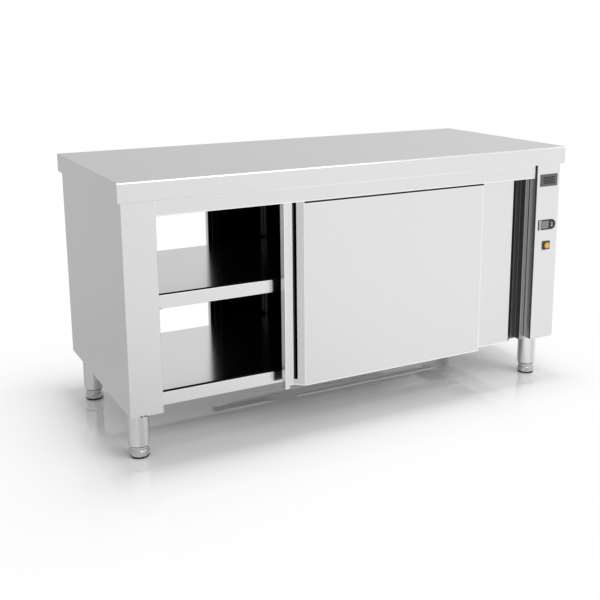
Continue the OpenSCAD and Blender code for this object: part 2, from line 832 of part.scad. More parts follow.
module fan_frame() {
    x1 = wall_x + fan_t;
    color(plastic) difference() {
        box([wall_x, x1], around(0, fan_w / 2), around(fan_z, fan_w / 2));
        difference() {
            rod_x(0, fan_z, rotor_r + 1.5, wall_x - cut, x1 + cut);
            rod_x(0, fan_z, hub_r, x1 - 8, x1 + cut);
            for (a = [45:90:315]) translate([0, 0, fan_z]) rotate([a, 0, 0])
                box([x1 - 6, x1], [-3, 3], [hub_r - 4, rotor_r + 6]);
        }
        rod_x(0, fan_z, shaft_r + fit, x1 - 10, x1 + cut);
    }
}

// Axial rotor: hub, shaft and swept blades.
module fan_rotor() {
    x0 = wall_x + 5;
    x1 = wall_x + fan_t - 9;
    color([0.2, 0.2, 0.2]) union() {
        rod_x(0, fan_z, hub_r, x0, x1);
        rod_x(0, fan_z, shaft_r, x1 - 1, wall_x + fan_t);
        for (i = [0:blades - 1]) translate([(x0 + x1) / 2, 0, fan_z]) rotate([i * 360 / blades, 0, 0])
            translate([0, 0, hub_r - 2]) rotate([0, 0, 35])
                translate([-0.8, -11, 0]) cube([1.6, 22, rotor_r - hub_r + 1]);
    }
}

module terminal_box() {
    y1 = leg_y - mount_plate / 2 - 15;
    color([0.75, 0.75, 0.72]) box(around(panel_x, 25), [y1 - 70, y1], [pan_top, pan_top + 35]);
}

gland_neck_r = 10;

module cable_gland() {
    nut_h = 8;
    color(plastic) difference() {
        union() {
            rod_y(gland_x, gland_z, gland_neck_r, body_y - 18, body_y);
            translate([gland_x, body_y + nut_h, gland_z]) rotate([90, 0, 0])
                cylinder(r = 14, h = nut_h, $fn = 6);
            translate([gland_x, body_y - sheet, gland_z]) rotate([90, 0, 0])
                cylinder(r = 14, h = 5, $fn = 6);
        }
        rod_y(gland_x, gland_z, cable_r, body_y - 18 - cut, body_y + nut_h + cut);
    }
}

worktop();
worktop_board();
worktop_channels();
ceiling_panel();
left_end_casing();
right_end_casing();
left_inner_wall();
right_inner_wall();
front_header();
rear_header();
front_door_track();
rear_door_track();
bottom_deck();
deck_channels();
shelf();
shelf_angles();
door_guides();
base_pans();
leg_spigots();
leg_bolts();
leg_tubes();
leg_inserts();
front_left_foot();
front_right_foot();
rear_left_foot();
rear_right_foot();
front_outer_skin();
front_outer_liner();
front_outer_hangers();
front_outer_roller_a();
front_outer_roller_b();
front_inner_skin();
front_inner_liner();
front_inner_hangers();
front_inner_roller_a();
front_inner_roller_b();
rear_outer_skin();
rear_outer_liner();
rear_outer_hangers();
rear_outer_roller_a();
rear_outer_roller_b();
rear_inner_skin();
rear_inner_liner();
rear_inner_hangers();
rear_inner_roller_a();
rear_inner_roller_b();
louvred_plate();
thermostat_case();
thermostat_key_up();
thermostat_key_down();
switch_housing();
switch_button();
air_duct();
heating_element();
fan_frame();
fan_rotor();
terminal_box();
cable_gland();
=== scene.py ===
"""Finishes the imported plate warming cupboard: steel surfaces, trim, controls and a pale studio."""

import math

import bmesh
import bpy
from bpy.props import FloatProperty, FloatVectorProperty, IntProperty, PointerProperty
from mathutils import Matrix, Vector


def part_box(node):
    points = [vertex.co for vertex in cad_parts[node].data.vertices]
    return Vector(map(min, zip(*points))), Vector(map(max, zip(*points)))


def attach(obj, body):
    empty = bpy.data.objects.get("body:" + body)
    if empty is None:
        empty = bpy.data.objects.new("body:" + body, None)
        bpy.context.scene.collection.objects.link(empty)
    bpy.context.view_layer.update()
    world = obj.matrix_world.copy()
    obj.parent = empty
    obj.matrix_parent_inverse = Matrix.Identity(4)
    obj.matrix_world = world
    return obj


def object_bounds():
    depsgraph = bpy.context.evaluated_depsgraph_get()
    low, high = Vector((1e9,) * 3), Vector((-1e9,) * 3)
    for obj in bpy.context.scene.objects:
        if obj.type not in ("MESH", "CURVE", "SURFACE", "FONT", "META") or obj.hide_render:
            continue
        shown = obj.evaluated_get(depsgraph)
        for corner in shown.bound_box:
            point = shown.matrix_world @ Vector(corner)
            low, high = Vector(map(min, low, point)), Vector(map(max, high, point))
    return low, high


bl_info = {
    "name": "Plate warming cupboard finish",
    "version": (1, 0, 0),
    "blender": (4, 5, 0),
    "location": "3D View > Sidebar > Cupboard",
    "description": "Steel finishes, trim, controls and a studio for a pass-through plate warming cupboard",
    "category": "Object",
}

MM = 0.001
X, Y, Z = range(3)

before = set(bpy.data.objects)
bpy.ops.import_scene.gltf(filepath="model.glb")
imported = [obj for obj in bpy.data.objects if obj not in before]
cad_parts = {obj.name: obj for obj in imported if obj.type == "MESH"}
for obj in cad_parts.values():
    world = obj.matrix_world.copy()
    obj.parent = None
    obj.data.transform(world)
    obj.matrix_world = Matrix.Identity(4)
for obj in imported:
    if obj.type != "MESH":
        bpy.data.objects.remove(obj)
cad_low, cad_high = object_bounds()

DOORS = ("front_outer", "front_inner", "rear_outer", "rear_inner")
FEET = ("front_left_foot", "front_right_foot", "rear_left_foot", "rear_right_foot")

# Widths along a door's edge that its box doesn't give: the whole grip, and the flat strip beside its recess
GRIP_WIDTH = 72 * MM
GRIP_STRIP = 17 * MM


def outwards(door):
    """The way out of the cupboard at a door, along Y."""
    return -1 if door.startswith("front") else 1


# ---- settings ----


class SteelSettings(bpy.types.PropertyGroup):
    """Colours and surface of the steel pieces."""

    sheet_colour: FloatVectorProperty(
        name="Sheet colour", description="Colour of the outer sheets",
        subtype="COLOR", size=3, min=0, max=1, default=(0.775, 0.775, 0.777))
    deck_colour: FloatVectorProperty(
        name="Deck colour", description="Colour of the shelf. The deck is a little lighter",
        subtype="COLOR", size=3, min=0, max=1, default=(0.83, 0.83, 0.828))
    lining_colour: FloatVectorProperty(
        name="Lining colour", description="Colour of the dark sheets that line the cupboard",
        subtype="COLOR", size=3, min=0, max=1, default=(0.035, 0.034, 0.037))
    tube_colour: FloatVectorProperty(
        name="Tube colour", description="Colour of the leg tubes",
        subtype="COLOR", size=3, min=0, max=1, default=(0.655, 0.655, 0.657))
    foot_colour: FloatVectorProperty(
        name="Foot colour", description="Colour of the levelling feet",
        subtype="COLOR", size=3, min=0, max=1, default=(0.60, 0.60, 0.605))
    sheet_roughness: FloatProperty(
        name="Sheet roughness", description="Roughness of the outer sheets",
        subtype="FACTOR", min=0.05, max=1, default=0.30)
    deck_roughness: FloatProperty(
        name="Deck roughness", description="Roughness of the deck and the shelf",
        subtype="FACTOR", min=0.05, max=1, default=0.17)
    grain_pitch: FloatProperty(
        name="Grain pitch", description="Width of one streak of the brushed grain",
        unit="LENGTH", min=0.0002, max=0.01, default=0.0012)
    grain_length: FloatProperty(
        name="Grain length", description="Length of one streak of the brushed grain",
        unit="LENGTH", min=0.01, max=1, default=0.16)


class TrimSettings(bpy.types.PropertyGroup):
    """Sizes of the small pieces that the doors, the pillars and the controls carry."""

    # The gap shadow is a black strip of painted shadow along an outer door's upper edge
    wiper_height: FloatProperty(
        name="Gap shadow height", description="Height of the black strip along an outer door's upper edge",
        unit="LENGTH", min=0.002, max=0.01, default=0.0055)
    gap_shadow_depth: FloatProperty(
        name="Gap shadow depth", description="How far the strip stands out of the door",
        unit="LENGTH", min=0.0005, max=0.003, default=0.0018)
    # The black strips on the deck and the shelf are painted shade
    shade_strip_width: FloatProperty(
        name="Shade strip width", description="Width of the black sealing strips on the deck and the shelf",
        unit="LENGTH", min=0.004, max=0.03, default=0.013)
    screw_radius: FloatProperty(
        name="Screw radius", description="Radius of the heads that hold the service panel",
        unit="LENGTH", min=0.002, max=0.006, default=0.0038)
    screw_pitch: FloatProperty(
        name="Screw pitch", description="Distance between the screws of the service panel",
        unit="LENGTH", min=0.05, max=0.4, default=0.15)
    thread_pitch: FloatProperty(
        name="Thread pitch", description="Pitch of the thread on a foot's stem",
        unit="LENGTH", min=0.001, max=0.004, default=0.002)
    round_steps: IntProperty(
        name="Steps of a round", description="Sides of the full circle of the switch collar",
        min=16, max=128, default=48)


class ControlSettings(bpy.types.PropertyGroup):
    """Colours of the thermostat and the switch."""

    button_colour: FloatVectorProperty(
        name="Button colour", description="Colour of the switch's button",
        subtype="COLOR", size=3, min=0, max=1, default=(0.74, 0.38, 0.085))
    up_key_colour: FloatVectorProperty(
        name="Upper key colour", description="Colour of the thermostat's upper key",
        subtype="COLOR", size=3, min=0, max=1, default=(0.72, 0.50, 0.16))
    down_key_colour: FloatVectorProperty(
        name="Lower key colour", description="Colour of the thermostat's lower key",
        subtype="COLOR", size=3, min=0, max=1, default=(0.78, 0.75, 0.73))
    lamp_colour: FloatVectorProperty(
        name="Lamp colour", description="Colour of the thermostat's status lamp",
        subtype="COLOR", size=3, min=0, max=1, default=(0.62, 0.25, 0.24))
    display_colour: FloatVectorProperty(
        name="Display colour", description="Colour of the display's window",
        subtype="COLOR", size=3, min=0, max=1, default=(0.21, 0.215, 0.215))


class StudioSettings(bpy.types.PropertyGroup):
    """Camera, lamps and floor."""

    camera_place: FloatVectorProperty(
        name="Camera place", description="Where the camera stands",
        subtype="TRANSLATION", unit="LENGTH", size=3, default=(-1.4991, -2.8317, 1.2608))
    camera_yaw: FloatProperty(
        name="Yaw", description="Turn of the camera to the right of the cupboard's depth",
        subtype="ANGLE", default=math.radians(27.973))
    camera_pitch: FloatProperty(
        name="Pitch", description="How far the camera looks down",
        subtype="ANGLE", default=math.radians(12.435))
    camera_roll: FloatProperty(
        name="Roll", description="Turn of the camera about its own axis",
        subtype="ANGLE", default=math.radians(-0.244))
    camera_lens: FloatProperty(
        name="Lens", description="Focal length for a 36 mm sensor, in millimetres",
        unit="CAMERA", min=10, max=200, default=56.372)
    shift_x: FloatProperty(name="Shift X", description="Sideways shift of the lens", default=-0.03)
    shift_y: FloatProperty(name="Shift Y", description="Upward shift of the lens", default=-0.11)
    key_power: FloatProperty(
        name="Key power", description="Power of the large lamp at the front right",
        unit="POWER", min=0, default=60)
    top_power: FloatProperty(
        name="Top power", description="Power of the long lamp above the front edge",
        unit="POWER", min=0, default=20)
    room_light: FloatProperty(
        name="Room light", description="Strength of the even light from all around",
        min=0, default=0.70)
    bright_side: FloatProperty(
        name="Bright side", description="What the steel reflects of the room at the front right",
        min=0, default=1.0)
    dim_side: FloatProperty(
        name="Dim side", description="What the steel reflects of the room at the rear left",
        min=0, default=0.60)
    dim_above: FloatProperty(
        name="Dim above", description="How much darker the reflected room is straight above",
        min=0, default=0.2)
    floor_fade: FloatProperty(
        name="Floor fade", description="Distance from the cupboard over which the floor turns white",
        unit="LENGTH", min=0.01, default=0.105)
    floor_size: FloatProperty(
        name="Floor size", description="Radius of the round floor",
        unit="LENGTH", min=2, default=14)


# ---- node graphs ----


class Wire:
    """A socket of a node graph. Arithmetic on it adds Math nodes, on whichever side it stands."""

    def __init__(self, graph, socket):
        self.graph = graph
        self.socket = socket

    def beside(self, name):
        """Another output of the same node."""
        return Wire(self.graph, self.socket.node.outputs[name])

    def _math(self, operation, *values):
        return self.graph.node("ShaderNodeMath", {"operation": operation}, dict(enumerate(values)))

    def __add__(self, other):
        return self._math("ADD", self, other)

    __radd__ = __add__

    def __sub__(self, other):
        return self._math("SUBTRACT", self, other)

    def __rsub__(self, other):
        return self._math("SUBTRACT", other, self)

    def __mul__(self, other):
        return self._math("MULTIPLY", self, other)

    __rmul__ = __mul__

    def __truediv__(self, other):
        return self._math("DIVIDE", self, other)

    def __rtruediv__(self, other):
        return self._math("DIVIDE", other, self)

    def __pow__(self, other):
        return self._math("POWER", self, other)

    def __rpow__(self, other):
        return self._math("POWER", other, self)

    def sine(self):
        return self._math("SINE", self)

    def size(self):
        return self._math("ABSOLUTE", self)

    def root(self):
        return self._math("SQRT", self)

    def larger(self, other):
        return self._math("MAXIMUM", self, other)

    def above(self, other):
        return self._math("GREATER_THAN", self, other)

    def below(self, other):
        return self._math("LESS_THAN", self, other)

    def centred(self):
        """A noise between 0 and 1, brought to lie about 0."""
        return self - 0.5

    def ramp(self, low, high, start=0.0, end=1.0):
        """start at low, end at high, and smooth in between."""
        return self.graph.node(
            "ShaderNodeMapRange", {"interpolation_type": "SMOOTHSTEP"},
            {"Value": self, "From Min": low, "From Max": high, "To Min": start, "To Max": end})


class Graph:
    """A node tree and the one method that adds its nodes."""

    def __init__(self, tree):
        self.tree = tree

    def feed(self, socket, value):
        """Links a wire to a socket, or sets the socket's own value."""
        if isinstance(value, Wire):
            self.tree.links.new(value.socket, socket)
        elif socket.type == "RGBA":
            socket.default_value = (*value[:3], 1)
        else:
            socket.default_value = value

    def node(self, kind, settings=None, sockets=None, out=0):
        """Adds a node: its settings first, then the values or wires of its sockets."""
        made = self.tree.nodes.new(kind)
        for key, value in (settings or {}).items():
            setattr(made, key, value)
        for key, value in (sockets or {}).items():
            self.feed(made.inputs[key], value)
        return Wire(self, made.outputs[out]) if made.outputs else None


class Finish(Graph):
    """The shader of a material or of the world, with the patterns and masks that it is mixed from."""

    # A Mix node's sockets for colours
    SHARE, FIRST, SECOND, RESULT = 0, 6, 7, 2
    # The normal's largest part, up to which a sheet is all bend and from which it is flat
    BEND, FLAT = 0.93, 0.995

    def __init__(self, owner):
        owner.use_nodes = True
        super().__init__(owner.node_tree)
        self.tree.nodes.clear()
        self.owner = owner

    def mix(self, share, first, second):
        """A colour between two colours."""
        return self.node("ShaderNodeMix", {"data_type": "RGBA"},
                         {self.SHARE: share, self.FIRST: first, self.SECOND: second}, out=self.RESULT)

    def scaled(self, colour, factor):
        """A colour times a factor that changes over the surface."""
        return self.node("ShaderNodeVectorMath", {"operation": "SCALE"}, {0: colour, "Scale": factor})

    def point(self):
        """The point on the piece, in metres."""
        return self.node("ShaderNodeTexCoord", out="Object")

    def coordinate(self, vector, axis):
        return self.node("ShaderNodeSeparateXYZ", {}, {0: vector}, out=axis)

    def place(self, axis):
        """One coordinate of a point on the piece, in metres."""
        return self.coordinate(self.point(), axis)

    def facing(self, axis):
        """One coordinate of the surface's normal."""
        return self.coordinate(self.node("ShaderNodeNewGeometry", out="Normal"), axis)

    def bends(self):
        """1 where a folded sheet turns a corner, 0 on its flats."""
        flat = self.facing("X").size().larger(self.facing("Y").size()).larger(self.facing("Z").size())
        return flat.ramp(self.BEND, self.FLAT, 1, 0)

    def seen(self):
        """1 for rays from the camera, in a reflection or through glass, and 1 for the camera's own rays."""
        camera = self.node("ShaderNodeLightPath", out="Is Camera Ray")
        mirrored = camera.larger(camera.beside("Is Glossy Ray"))
        return mirrored.larger(camera.beside("Is Transmission Ray")), camera

    def noise(self, scale, detail=2.0, point=None, roughness=0.5):
        return self.node(
            "ShaderNodeTexNoise", {"noise_dimensions": "3D"},
            {"Vector": point or self.point(), "Scale": scale, "Detail": detail, "Roughness": roughness})

    def stretched(self, scale):
        """The point with each of its coordinates scaled."""
        return self.node("ShaderNodeMapping", {}, {"Vector": self.point(), "Scale": scale})

    def bump(self, height, strength, distance):
        return self.node(
            "ShaderNodeBump", {}, {"Height": height, "Strength": strength, "Distance": distance})

    def surface(self, **sockets):
        """Closes a material with a Principled shader. Underscores in a name stand for spaces."""
        named = {key.replace("_", " "): value for key, value in sockets.items()}
        shader = self.node("ShaderNodeBsdfPrincipled", {}, named)
        self.node("ShaderNodeOutputMaterial", {}, {"Surface": shader})
        return self.owner


def material_finish(name):
    """An empty finish for a new material."""
    return Finish(bpy.data.materials.new(name))


# ---- finishes ----

# A surface counts as turned towards an axis where this part of its normal or more points there
TURNED = 0.5
# Height of the hem or rim along an edge of a sheet that gets a painted highlight
HEM = 3 * MM
# How much brighter the bends are painted, as a painted highlight: as a rule, and on the doors and the
# headers
BEND_HIGHLIGHT, STRONG_HIGHLIGHT = 1.2, 1.28


def brushed(name, colour, roughness, along="X", streak=0.03, mottle=0.02, relief=0.04,
            dark=None, flats=None, painted_highlight=None, bright=BEND_HIGHLIGHT):
    """Stainless steel with a fine grain along one axis, and smoother bends with a painted highlight.

    streak and mottle say how much the grain and slow clouds change the colour, and relief is how strong the
    grain's bump is. Three masks are functions of the finish: dark gives the share of the lining's colour,
    which also carries painted shade, flats what gets no bend highlight although it slants, and the last what
    gets the same painted highlight as a bend.
    """
    steel = bpy.context.scene.cupboard_steel
    finish = material_finish(name)
    length_scale = 1 / steel.grain_length
    pitch_scale = 1 / steel.grain_pitch
    streaks = finish.stretched([length_scale if axis == along else pitch_scale for axis in "XYZ"])
    grain = finish.noise(scale=1.0, detail=3.0, point=streaks, roughness=0.6).centred()
    cloud = finish.noise(scale=2.2).centred()
    bend = finish.bends()
    if flats:
        bend = bend * (1 - flats(finish))
    if painted_highlight:
        bend = bend.larger(painted_highlight(finish))
    # Painted highlight: bends and rims get a brighter colour than the flats
    bare = finish.mix(bend, colour, [min(1, part * bright) for part in colour])
    # The lining's dark colour, which on some sheets is painted shade
    if dark:
        bare = finish.mix(dark(finish), bare, steel.lining_colour[:])
    grain_rough, cloud_rough, polish = 0.10, 0.05, 0.4
    return finish.surface(
        Base_Color=finish.scaled(bare, 1 + grain * streak + cloud * mottle), Metallic=1.0,
        Roughness=roughness + grain * grain_rough + cloud * cloud_rough - bend * roughness * polish,
        Normal=finish.bump(grain, relief, 0.04 * MM))


def door_finish(door):
    """A door's outer sheet: dark where it faces inwards, painted shade in an inner door's grip, painted
    highlights on its rims.
    """
    steel = bpy.context.scene.cupboard_steel
    low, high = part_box(f"{door}_skin")
    outer = door.endswith("outer")
    # Depths count along Y into the cupboard, so that front and rear doors read alike
    inward = -outwards(door)
    face, back = sorted((low.y * inward, high.y * inward))
    face_fold, back_hem, edge_fold, far_rim = 1.5 * MM, 3.5 * MM, 2.6 * MM, 4 * MM
    # The normal's inward part, below which a face is turned out and above which it is turned in
    turned_out, turned_in = -0.3, 0.05
    # What faces outwards at the back is bare steel on an outer door, and mostly painted shade on an inner
    # one
    bare_share = 1.0 if outer else 0.15
    # Painted shade in an inner door's grip recess and on the flat strip beside it
    grip_painted_shade, strip_painted_shade = 0.72, 0.60

    def depth(finish):
        return finish.place("Y") * inward

    def from_edge(finish):
        """Distance from the edge that carries the grip."""
        return finish.place("X") - low.x if outer else high.x - finish.place("X")

    def in_grip(finish):
        return depth(finish).above(face + face_fold) * from_edge(finish).below(GRIP_WIDTH)

    def dark(finish):
        facing = finish.facing("Y") * inward
        behind = depth(finish).above(back - back_hem) * from_edge(finish).above(edge_fold)
        behind = behind * (1 - facing.below(turned_out) * bare_share)
        inside = behind.larger(facing.above(turned_in))
        if outer:
            return inside
        strip = from_edge(finish).below(GRIP_STRIP) * strip_painted_shade
        return inside.larger(in_grip(finish) * grip_painted_shade).larger(strip)

    def painted_highlight(finish):
        """The rims of the face, which get a painted highlight."""
        across, height = finish.place("X"), finish.place("Z")
        sides = across.below(low.x + HEM).larger(across.above(high.x - far_rim))
        return sides.larger(height.below(low.z + HEM)) * (finish.facing("Y") * -inward).above(TURNED)

    return brushed(f"{door}_steel", steel.sheet_colour[:], steel.sheet_roughness, "Z",
                   dark=dark, flats=in_grip, painted_highlight=painted_highlight, bright=STRONG_HIGHLIGHT)


def hems(node):
    """A mask of the upper and lower rims of a sheet's front and rear, where its hem gets a painted
    highlight.
    """
    low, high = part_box(node)

    def painted_highlight(finish):
        height = finish.place("Z")
        rims = height.below(low.z + HEM).larger(height.above(high.z - HEM))
        return rims * finish.facing("Y").size().above(TURNED)

    return painted_highlight


def flange_painted_shade(finish, share=0.12):
    """Painted shade: the deck's front and rear flanges, a little darker than its top."""
    return finish.facing("Y").size().above(TURNED) * share


def shelf_painted_shade(finish):
    """The same painted shade for the shelf's flanges, and painted shade in the lining's colour on its
    underside, which faces the lower compartment.
    """
    return flange_painted_shade(finish, 0.07).larger(finish.facing("Z").below(-TURNED))


def moulded(name, colour, roughness, grain=0.0, gloss=0.5):
    """Plastic or rubber with a fine moulded texture."""
    finish = material_finish(name)
    speckle = finish.noise(scale=1500.0).centred()
    cloud = finish.noise(scale=30.0).centred()
    return finish.surface(
        Base_Color=finish.scaled(colour, 1 + cloud * 0.06), Roughness=roughness + cloud * 0.08,
        Specular_IOR_Level=gloss, Normal=finish.bump(speckle, grain, 0.05 * MM))


def zinc(name, colour, roughness):
    """Galvanised sheet or plated steel with its pale crystals."""
    finish = material_finish(name)
    crystal = finish.node(
        "ShaderNodeTexVoronoi", {"feature": "F1"}, {"Vector": finish.point(), "Scale": 90.0}, out="Color")
    patch = finish.node("ShaderNodeSeparateColor", {}, {0: crystal}).centred()
    uneven = 0.12
    shade = finish.scaled(colour, 1 + patch * uneven)
    return finish.surface(Base_Color=shade, Metallic=0.9, Roughness=roughness + patch * uneven)


def chipboard(name):
    """Pressed wood chips."""
    finish = material_finish(name)
    chips = finish.stretched((1.0, 1.6, 2.4))
    chip = finish.noise(scale=160.0, detail=4.0, point=chips, roughness=0.7)
    dark_wood, pale_wood = (0.30, 0.20, 0.11), (0.62, 0.47, 0.30)
    shade = finish.mix(chip.ramp(0.35, 0.68), dark_wood, pale_wood)
    return finish.surface(Base_Color=shade, Roughness=0.85, Normal=finish.bump(chip, 0.3, 0.4 * MM))


def foot_finish(name, colour):
    """Satin steel foot standing on black rubber, with a black ring of painted shadow under the tube and a
    thread on its stem.
    """
    trim = bpy.context.scene.cupboard_trim
    # The feet mirror one another, so this one's centre serves them all
    foot_low, foot_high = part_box("front_right_foot")
    tube_low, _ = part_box("leg_tubes")
    gap_height, pad_height, stem_reach = 3.8 * MM, 6.4 * MM, 9 * MM
    rubber = (0.012, 0.012, 0.012)

    finish = material_finish(name)
    height = finish.place("Z")
    # Painted shadow: the black ring just below the tube stands for the gap between the tube and the foot
    gap = height.above(tube_low.z - gap_height) * height.below(tube_low.z)
    rubber_and_shadow = height.below(pad_height).larger(gap)
    cloud = finish.noise(scale=60.0, detail=3.0).centred()
    across = finish.place("X").size() - (foot_low.x + foot_high.x) / 2
    along = finish.place("Y").size() + (foot_low.y + foot_high.y) / 2
    stem = (across * across + along * along).root().below(stem_reach) * height.above(tube_low.z)
    groove = (height * (math.tau / trim.thread_pitch)).sine() * stem
    return finish.surface(
        Base_Color=finish.mix(rubber_and_shadow, colour, rubber), Metallic=1 - rubber_and_shadow,
        Roughness=0.24 + cloud * 0.10 + rubber_and_shadow * 0.45, Normal=finish.bump(groove, 0.9, 0.6 * MM))


def sheet_finishes():
    """The stainless sheets, tubes and fins."""
    steel = bpy.context.scene.cupboard_steel
    sheet, rough = steel.sheet_colour[:], steel.sheet_roughness
    # The deck is the shelf's steel painted a little lighter, as painted light
    deck_lift = 1.13
    tray = {"streak": 0.02, "mottle": 0.02, "relief": 0.02}
    return [
        brushed("steel_along", sheet, rough),
        brushed("steel_header", sheet, rough, painted_highlight=hems("front_header"), bright=STRONG_HIGHLIGHT),
        brushed("steel_upright", sheet, rough, "Z"),
        *(door_finish(door) for door in DOORS),
        brushed("steel_deck", [deck_lift * part for part in steel.deck_colour], steel.deck_roughness,
                dark=flange_painted_shade, painted_highlight=hems("bottom_deck"), **tray),
        brushed("steel_shelf", steel.deck_colour[:], steel.deck_roughness,
                dark=shelf_painted_shade, painted_highlight=hems("shelf"), **tray),
        brushed("steel_lining", steel.lining_colour[:], 0.16, "Z", streak=0.05, mottle=0.05, relief=0.02),
        # Near white steel of the gap shadow's holder: a painted highlight
        brushed("steel_highlight_rim", (0.96, 0.96, 0.96), 0.25, **tray),
        brushed("steel_tube", steel.tube_colour[:], 0.22, "Z", streak=0.03, mottle=0.01, relief=0.03),
        brushed("steel_heater", (0.34, 0.29, 0.25), 0.34, "Y", streak=0.10, mottle=0.30, relief=0.05),
        foot_finish("satin_foot", steel.foot_colour[:]),
    ]


def inner_finishes():
    """What carries and joins the sheets, and the warm air unit."""
    return [
        zinc("galvanised_sheet", (0.52, 0.53, 0.54), 0.42),
        zinc("plated_steel", (0.60, 0.59, 0.55), 0.30),
        chipboard("pressed_board"),
        moulded("grey_moulding", (0.42, 0.42, 0.40), 0.50, grain=0.25),
        moulded("nylon_white", (0.72, 0.71, 0.66), 0.42, grain=0.10),
    ]


def trim_finishes():
    """Seals, black and grey pieces of painted shadow and shade, and the controls."""
    control = bpy.context.scene.cupboard_controls
    return [
        moulded("black_moulding", (0.022, 0.022, 0.023), 0.48, grain=0.25),
        moulded("black_gloss", (0.020, 0.019, 0.019), 0.22, grain=0.03),
        moulded("smoke_gloss", (0.105, 0.098, 0.094), 0.30, grain=0.05),
        moulded("bezel_grey", (0.060, 0.058, 0.058), 0.35, grain=0.10),
        moulded("pale_grey_gloss", (0.38, 0.38, 0.38), 0.30, grain=0.02),
        moulded("display_grey", control.display_colour[:], 0.20),
        moulded("gold_gloss", control.up_key_colour[:], 0.28, grain=0.02),
        moulded("white_gloss", control.down_key_colour[:], 0.30, grain=0.02),
        moulded("lamp_pink", control.lamp_colour[:], 0.22),
        moulded("lens_orange", control.button_colour[:], 0.20),
        # Black rubber, also used for black pieces of painted shadow
        moulded("rubber_and_shadow_black", (0.010, 0.010, 0.010), 0.70, grain=0.30),
        # Near black of the pillar's painted shadow strips
        moulded("shadow_grey", (0.035, 0.035, 0.035), 0.60, grain=0.20),
        # Black of the painted shade strips behind the trays' front bends
        moulded("shade_black", (0.012, 0.012, 0.012), 0.90, gloss=0.0),
    ]


NODE_FINISH = {
    "steel_along": ("worktop",),
    "steel_header": ("front_header", "rear_header"),
    "steel_upright": ("left_end_casing", "right_end_casing"),
    **{f"{door}_steel": (f"{door}_skin",) for door in DOORS},
    "steel_deck": ("bottom_deck",),
    "steel_shelf": ("shelf",),
    "steel_lining": ("ceiling_panel", "left_inner_wall", "right_inner_wall", "shelf_angles", "air_duct",
                     "front_door_track", "rear_door_track", *(f"{door}_liner" for door in DOORS)),
    "steel_tube": ("leg_tubes",),
    "steel_heater": ("heating_element",),
    "galvanised_sheet": ("worktop_channels", "deck_channels", "base_pans", "leg_spigots"),
    "plated_steel": ("leg_bolts", *(f"{door}_hangers" for door in DOORS)),
    "pressed_board": ("worktop_board",),
    "satin_foot": FEET,
    "black_moulding": ("leg_inserts", "fan_frame", "fan_rotor", "cable_gland"),
    "smoke_gloss": ("louvred_plate",),
    "black_gloss": ("thermostat_case",),
    "bezel_grey": ("switch_housing",),
    "grey_moulding": ("terminal_box",),
    "nylon_white": ("door_guides", *(f"{door}_roller_{end}" for door in DOORS for end in "ab")),
    "gold_gloss": ("thermostat_key_up",),
    "white_gloss": ("thermostat_key_down",),
    "lens_orange": ("switch_button",),
}


# ---- mesh helpers ----


def add_object(name, data):
    """A new object of the scene, at the origin."""
    made = bpy.data.objects.new(name, data)
    bpy.context.scene.collection.objects.link(made)
    return made


def new_piece(name, mesh, material):
    """A piece from a closed mesh: its doubles are merged and its faces turned outwards."""
    bmesh.ops.remove_doubles(mesh, verts=mesh.verts, dist=0.001 * MM)
    bmesh.ops.recalc_face_normals(mesh, faces=mesh.faces)
    data = bpy.data.meshes.new(name)
    mesh.to_mesh(data)
    mesh.free()
    data.materials.append(bpy.data.materials[material])
    return add_object(name, data)


def extruded(name, outline, axis, start, end, material):
    """A piece from an outline in the two axes after `axis`, which runs from start to end along that axis."""
    mesh = bmesh.new()

    def point(pair, along):
        place = [0.0, 0.0, 0.0]
        place[axis], place[(axis + 1) % 3], place[(axis + 2) % 3] = along, *pair
        return mesh.verts.new(place)

    near = [point(pair, start) for pair in outline]
    far = [point(pair, end) for pair in outline]
    count = len(outline)
    for i in range(count):
        j = (i + 1) % count
        mesh.faces.new((near[i], near[j], far[j], far[i]))
    mesh.faces.new(list(reversed(near)))
    mesh.faces.new(far)
    return new_piece(name, mesh, material)


def turned(name, profile, centre, axis, steps, material):
    """A piece of (radius, along) pairs turned about an axis through centre. Ends at radius 0 close."""
    mesh = bmesh.new()
    rings = []
    for radius, along in profile:
        ring = []
        for i in range(1 if radius == 0 else steps):
            angle = math.tau * i / steps
            place = Vector(centre)
            place[axis] += along
            place[(axis + 1) % 3] += radius * math.cos(angle)
            place[(axis + 2) % 3] += radius * math.sin(angle)
            ring.append(mesh.verts.new(place))
        rings.append(ring)
    for low, high in zip(rings, rings[1:]):
        for i in range(steps):
            j = (i + 1) % steps
            corners = [low[i % len(low)], low[j % len(low)], high[j % len(high)], high[i % len(high)]]
            mesh.faces.new(list(dict.fromkeys(corners)))
    return new_piece(name, mesh, material)


def rounded_box(low, high, corner, steps=4):
    """Outline of a rectangle with round corners, anticlockwise."""
    corner = min(corner, (high[0] - low[0]) / 2, (high[1] - low[1]) / 2)
    corners = ((high[0], high[1], 0), (low[0], high[1], 90), (low[0], low[1], 180), (high[0], low[1], 270))
    outline = []
    for x, y, turn in corners:
        x += -corner if x == high[0] else corner
        y += -corner if y == high[1] else corner
        for i in range(steps + 1):
            angle = math.radians(turn + 90 * i / steps)
            outline.append((x + corner * math.cos(angle), y + corner * math.sin(angle)))
    return outline


def swapped(outline):
    """The same outline with its two axes changed over."""
    return [(second, first) for first, second in outline]


def loose_parts(mesh):
    """The vertices of each loose shell of a mesh, in the mesh's order."""
    left = set(mesh.verts)
    shells = []
    while left:
        shell, edge = set(), [left.pop()]
        while edge:
            vertex = edge.pop()
            shell.add(vertex)
            for link in vertex.link_edges:
                other = link.other_vert(vertex)
                if other in left:
                    left.discard(other)
                    edge.append(other)
        shells.append(sorted(shell, key=lambda vertex: vertex.index))
    return shells


# ---- pieces ----


